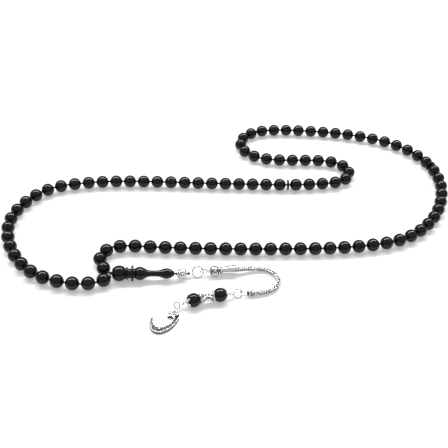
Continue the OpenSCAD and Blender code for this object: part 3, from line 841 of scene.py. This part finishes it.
def head_pin():
    bend_1, bend_2 = -TASSEL_BEAD_D / 2 - 0.9, BEAD_STEP + TASSEL_BEAD_D / 2 + 0.8
    eye_1 = Vector((-PIN_BEAD_S, 0, middle("ring_2").z - bead_1.z))
    eye_2 = Vector((BEAD_STEP + PIN_EYE_2_S, 0, 1.8 - bead_1.z))
    neck_1, neck_2 = eye_1 + X * (EYE_R - 0.05), eye_2 - X * (EYE_R - 0.05)
    bent_1, bent_2 = Vector((bend_1, 0, 0)), Vector((bend_2, 0, 0))
    parts = [
        wire("rod", [bent_1, bent_2], PIN_D, sides=16),
        wire("neck", [neck_1, bent_1 + (neck_1 - bent_1) * 0.15, bent_1 + X * 0.3], PIN_D * 0.7, sides=12),
        wire("neck", [neck_2, bent_2 + (neck_2 - bent_2) * 0.15, bent_2 - X * 0.3], PIN_D * 0.7, sides=12),
        laid(ring("eye", EYE_R, LINK_WIRE, slit=False), at(eye_1, tilt=90 - LEAN)),
        laid(ring("eye", EYE_R, SMALL_WIRE, slit=False), at(eye_2, tilt=90 - LEAN)),
        coil(bent_1 + (neck_1 - bent_1) * 0.3, bent_1 + (neck_1 - bent_1) * 0.9, 0.3, 0.24, 3),
        coil(bent_2 + (neck_2 - bent_2) * 0.3, bent_2 + (neck_2 - bent_2) * 0.9, 0.3, 0.24, 3)]
    pin = joined("head_pin_wire", parts)
    return patina_and_shade(pin, lambda p: 0.0)


show(laid(head_pin(), pin_place), "pin", "polished_silver", "head_pin")
tassel_blank = turned("tassel_blank", ball_profile(TASSEL_BEAD_D, PIN_BORE, 6), sides=56, bored=True)
for k, place in ((1, bead_1), (2, bead_2)):
    name = f"tassel_bead_{k}"
    show(copied(tassel_blank, f"{name}_ball", along(place, pin_axis)), name, "tassel_jet", name)
removed(tassel_blank)


def flower_cap(name, side):
    """A cap of six petals over a bead's pole, with a ribbed middle to each petal."""
    seat_r, wall, depth = TASSEL_BEAD_D / 2 + 0.05, 0.3, 1.5
    open_angle = math.asin((PIN_D / 2 + 0.04) / seat_r)
    full_angle = math.acos((seat_r + wall - depth) / (seat_r + wall)) - 0.02
    rows, petals, sides = 9, 6, 96
    profile = []
    for k in range(rows + 1):
        a = open_angle + (full_angle - open_angle) * k / rows
        profile.append((seat_r * math.cos(a), seat_r * math.sin(a)))
    clear_selection()
    bpy.ops.mesh.primitive_circle_add(vertices=sides, radius=profile[0][1] * MM, rotation=(0, math.pi / 2, 0),
                                      location=(profile[0][0] * MM, 0, 0))
    cap = bpy.context.object
    bpy.ops.object.transform_apply(location=True, rotation=True, scale=True)
    open_mesh(cap, "SELECT")
    for (s, r), (s_next, r_next) in zip(profile, profile[1:]):
        bpy.ops.mesh.extrude_region_move(TRANSFORM_OT_translate={"value": ((s_next - s) * MM, 0, 0)})
        bpy.ops.transform.resize(value=(1, r_next / r, r_next / r), center_override=(s_next * MM, 0, 0))
    bpy.ops.mesh.select_all(action="SELECT")
    bpy.ops.mesh.normals_make_consistent(inside=False)
    bpy.ops.object.mode_set(mode="OBJECT")
    for v in cap.data.vertices:
        p = v.co / MM
        turn = math.atan2(p.z, p.y)
        t = (math.acos(min(1, p.x / seat_r)) - open_angle) / (full_angle - open_angle)
        lobe = abs(math.cos(petals / 2 * turn))
        a = open_angle + (full_angle - open_angle) * t * (0.34 + 0.66 * lobe ** 0.8)
        v.co = Vector((seat_r * math.cos(a), seat_r * math.sin(a) * math.cos(turn),
                       seat_r * math.sin(a) * math.sin(turn))) * MM
    modified(cap, "SOLIDIFY", thickness=wall * MM, offset=1.0)
    hub = laid(ring("hub", 0.72, 0.3, slit=False, sides=32), at((seat_r + 0.1, 0, 0), pitch=90))
    grains = []
    for k in range(petals):
        turn = 2 * math.pi * k / petals
        for share, size in ((0.62, 0.2), (0.86, 0.13)):
            a = open_angle + (full_angle - open_angle) * share
            r = seat_r + wall - size * 0.45
            grains.append(((r * math.cos(a), r * math.sin(a) * math.cos(turn),
                            r * math.sin(a) * math.sin(turn)), size))
    open_mesh(cap, "SELECT")
    close_mesh(cap, 45)
    piece = joined(name, [cap, hub, granules("grains", grains)])

    def dark(p):
        """Dark in the notches between the petals and under the hub."""
        lobe = abs(math.cos(petals / 2 * math.atan2(p.z, p.y)))
        return (0.42 - lobe) / 0.2 + (seat_r + 0.06 - p.length) / 0.1

    patina_and_shade(piece, dark)
    return laid(piece, Matrix.Rotation(math.pi, 4, "Z")) if side < 0 else piece


show(laid(flower_cap("flower_cap_1_petals", -1), pin_place), "pin", "polished_silver", "flower_cap_1")
show(laid(flower_cap("flower_cap_2_petals", 1), along(bead_2, pin_axis)), "pin", "polished_silver",
     "flower_cap_2")


def spacer():
    """An openwork hourglass: crossed bars between grained rims, round a waist ring."""
    half, rim_r, waist_r = SPACER_L / 2, SPACER_RIM_D / 2, SPACER_WAIST_D / 2
    bars, bar_d = 6, 0.5

    def surface(t, turn, depth):
        r = waist_r + (rim_r - waist_r) * t * t - depth
        return Vector((t * (half - 0.25), r * math.cos(turn), r * math.sin(turn)))

    parts = [turned("tube", [(-half + 0.5, PIN_BORE / 2 + 0.02), (-half + 0.5, 0.75), (half - 0.5, 0.75),
                             (half - 0.5, PIN_BORE / 2 + 0.02)], sides=24, bored=True)]
    for lean in (-1, 1):
        for k in range(bars):
            turns = [2 * math.pi * k / bars + lean * 0.52 * t / 10 for t in range(-10, 11)]
            line = [surface(t / 10, turn, bar_d / 2) for t, turn in zip(range(-10, 11), turns)]
            parts.append(wire("bar", line, bar_d, sides=6))
    for t, thickness in ((-1, 0.46), (1, 0.46), (0, 0.5)):
        r = surface(t, 0, thickness / 2).y
        parts.append(laid(ring("hoop", r, thickness, slit=False), at((t * (half - 0.23), 0, 0), pitch=90)))
    grains = (round_about(26, -half + 0.62, rim_r - 0.5, 0.17)
              + round_about(26, half - 0.62, rim_r - 0.5, 0.17))
    piece = joined("spacer_openwork", [*parts, granules("grains", grains)])
    # Darker the deeper inside the openwork: painted shade on the tube and on the inner sides of bars, hoops
    # and grains, seen through the openings.
    return patina_and_shade(piece, lambda p: (waist_r + (rim_r - waist_r) * (p.x / half) ** 2 - 0.26
                                    - math.hypot(p.y, p.z)) / 0.12)


show(laid(spacer(), along((bead_1 + bead_2) / 2, pin_axis)), "spacer", "oxidised_silver", "spacer")


# ---------------------------------------------------------------- star and crescent
def flat_shape(name, outline, low, high, edge):
    """A flat shape cut from plate, with its edges rounded."""
    shape = bpy.data.curves.new(name, "CURVE")
    shape.dimensions = "2D"
    shape.fill_mode = "BOTH"
    shape.extrude = ((high - low) / 2 - edge) * MM
    shape.bevel_depth = edge * MM
    shape.bevel_resolution = 2
    shape.offset = -edge * MM
    spline = shape.splines.new("POLY")
    spline.points.add(len(outline) - 1)
    for point, place in zip(spline.points, outline):
        point.co = (place[0] * MM, place[1] * MM, 0, 1)
    spline.use_cyclic_u = True
    piece = bpy.data.objects.new(name, shape)
    bpy.context.scene.collection.objects.link(piece)
    clear_selection()
    piece.select_set(True)
    bpy.context.view_layer.objects.active = piece
    bpy.ops.object.convert(target="MESH")
    piece = bpy.context.object
    open_mesh(piece, "SELECT")
    close_mesh(piece, 40)
    return laid(piece, at((0, 0, (low + high) / 2)))


def star():
    points, inner = 5, 0.5
    r, top = STAR_D / 2, CRESCENT_T + 0.2
    corners = [Vector((math.cos(k * math.pi / points), math.sin(k * math.pi / points), 0))
               * (r if k % 2 == 0 else r * inner) for k in range(2 * points)]
    plate = flat_shape("plate", corners, 0, top - 0.35, 0.08)
    rim_line = [c * 0.9 + Z * (top - 0.3) for c in corners]
    parts = [plate, wire("rim", rim_line, 0.34, closed=True)]
    for k in range(points):
        tip = corners[2 * k]
        parts.append(wire("rib", [tip * 0.12 + Z * (top - 0.16), tip * 0.5 + Z * (top - 0.22),
                                  tip * 0.84 + Z * (top - 0.3)], 0.3, sides=6))
    parts.append(granules("boss", [((0, 0, top - 0.28), 0.42)]
                          + [(c * 0.94 + Z * (top - 0.26), 0.2) for c in corners[::2]]))
    piece = joined("star_relief", parts)
    # Darker below the top of the relief: the plate's face half dark as oxide, and painted shade down its side
    # walls.
    return patina_and_shade(piece, lambda p: 0.2 + (top - 0.3 - p.z) / 0.2)


def crescent_edge(depth, half_width, aside):
    """An oval's arc from the left horn round to the right."""
    return [Vector((depth * math.cos(t), half_width * math.sin(t) + aside, 0))
            for t in (math.radians(110 + 3.5 * k) for k in range(51))]


def spaced(line, step):
    """Points at even steps along a line."""
    places, left = [line[0]], step
    for a, b in zip(line, line[1:]):
        length = (b - a).length
        while left <= length:
            places.append(a + (b - a) * left / length)
            left += step
        left -= length
    return places


def crescent_plate(outer, inner, top):
    """The crescent's plate: a grid laid between its two edges, sunk between its borders."""
    rows = [0, 0.04, 0.11, 0.15, 0.5, 0.85, 0.89, 0.96, 1]
    lifts = [-0.12, -0.03, -0.03, -0.24, -0.24, -0.24, -0.03, -0.03, -0.12]
    clear_selection()
    bpy.ops.mesh.primitive_grid_add(x_subdivisions=len(outer) - 1, y_subdivisions=len(rows) - 1, size=2 * MM)
    plate = bpy.context.object
    for v in plate.data.vertices:
        i, j = (round((v.co[axis] / MM + 1) / 2 * (count - 1))
                for axis, count in ((0, len(outer)), (1, len(rows))))
        v.co = (outer[i] + (inner[i] - outer[i]) * rows[j] + Z * (top + lifts[j])) * MM
    open_mesh(plate, "SELECT")
    bpy.ops.mesh.extrude_region_move(TRANSFORM_OT_translate={"value": (0, 0, -2 * top * MM)})
    bpy.ops.transform.resize(value=(1, 1, 0), center_override=(0, 0, 0))
    close_mesh(plate, 30)
    # Dark in the sunk field as oxide; elsewhere darker towards the bottom, painted shade down the side walls.
    return patina_and_shade(plate, lambda p: 0.9 if top - 0.3 < p.z < top - 0.2
                  else (top + 0.1 - p.z) / 0.5)


def crescent():
    """A crescent: a sunk plate with beaded borders, and a zigzag with a grain in each of its bays."""
    horn_w, aside, top = 1.2, 0.5, CRESCENT_T
    outer = crescent_edge(CRESCENT_DEPTH, CRESCENT_ACROSS / 2, 0)
    inner = crescent_edge(CRESCENT_DEPTH - CRESCENT_W, CRESCENT_ACROSS / 2 - horn_w, aside)

    def between(share, lift):
        return [a + (b - a) * share + Z * lift for a, b in zip(outer, inner)]

    border = 0.17
    spots = []
    for line in (between(0.085, top - border), between(0.9, top - border)):
        spots += [(p, border) for p in spaced(line, 0.44)]
    out_side, in_side = between(0.24, top - 0.17), between(0.74, top - 0.17)
    pairs = list(zip(out_side, in_side))[3:-3]
    zigzag = [pair[i % 2] for i, pair in enumerate(pairs)]
    for i, (a, b) in enumerate(pairs):
        if (a - b).length > 0.75:
            spots.append((a + (b - a) * (0.86 if i % 2 == 0 else 0.14), 0.13))
    relief = joined("relief", [wire("zigzag", zigzag, 0.2, sides=6), granules("beading", spots, 1)])
    patina_and_shade(relief, lambda p: (top - 0.12 - p.z) / 0.12)
    return joined("crescent_beaded", [crescent_plate(outer, inner, top), relief])


small_2 = middle("small_ring_2")
bail_at = small_2 - Vector((0, 0.88, 0))
star_at = (bail_at + STAR_D * Vector((-0.26, -0.54, 0))).xy.to_3d()
crescent_at = star_at + CRESCENT_ACROSS * Vector((-0.286, -0.165, 0))
star_piece = laid(star(), at(star_at, STAR_YAW))
bail = laid(ring("bail", 0.55, SMALL_WIRE, slit=False), at(bail_at))
patina_and_shade(bail, lambda p: 0.0)
show(joined("star_relief", [star_piece, bail]), "pendant", "polished_silver", "star")
show(laid(crescent(), at(crescent_at, CRESCENT_YAW)), "pendant", "oxidised_silver", "crescent")


# ---------------------------------------------------------------- table and light
ROOM_DARK_TO, ROOM_LIGHT_FROM, ROOM_LIGHT = 0.1, 0.35, 0.62
KEY_WATTS = 28
# The table glows by itself: painted fill light that lightens the shadows on it, though it is no lamp.
TABLE_PAINTED_FILL = 0.34


def make_table():
    clear_selection()
    bpy.ops.mesh.primitive_plane_add(size=6, location=(0, 0, -0.00002))
    table = bpy.context.object
    table.name = "table"
    # The table's glow is painted fill light, not a lamp.
    f = Finish("glowing_table_painted_fill")
    table.data.materials.append(f.surface(base_color=grey(0.5), roughness=0.7, specular_ior_level=0.2,
                                          emission_color=grey(1.0), emission_strength=TABLE_PAINTED_FILL))


def make_softbox(name, place, size, power, target=(0, 0, 0)):
    data = bpy.data.lights.new(name, "AREA")
    data.shape, data.size, data.size_y, data.energy = "RECTANGLE", size[0], size[1], power
    lamp = bpy.data.objects.new(name, data)
    bpy.context.scene.collection.objects.link(lamp)
    lamp.location = place
    lamp.rotation_euler = (Vector(target) - Vector(place)).to_track_quat("-Z", "Y").to_euler()


def make_light():
    """One long softbox overhead and behind, in a room that is dark at the horizon."""
    world = bpy.data.worlds.new("studio")
    world.use_nodes = True
    nodes, links = world.node_tree.nodes, world.node_tree.links
    height = nodes.new("ShaderNodeSeparateXYZ")
    walls = nodes.new("ShaderNodeValToRGB")
    links.new(nodes.new("ShaderNodeTexCoord").outputs["Generated"], height.inputs[0])
    links.new(height.outputs["Z"], walls.inputs["Fac"])
    links.new(walls.outputs["Color"], nodes["Background"].inputs["Color"])
    low, high = walls.color_ramp.elements
    low.position, low.color = ROOM_DARK_TO, grey(0.03)
    high.position, high.color = ROOM_LIGHT_FROM, grey(ROOM_LIGHT)
    bpy.context.scene.world = world
    make_softbox("key", (-0.1, 0.55, 1.0), (2.0, 0.12), KEY_WATTS)
    bpy.context.scene.view_settings.view_transform = "Standard"


make_table()
make_light()
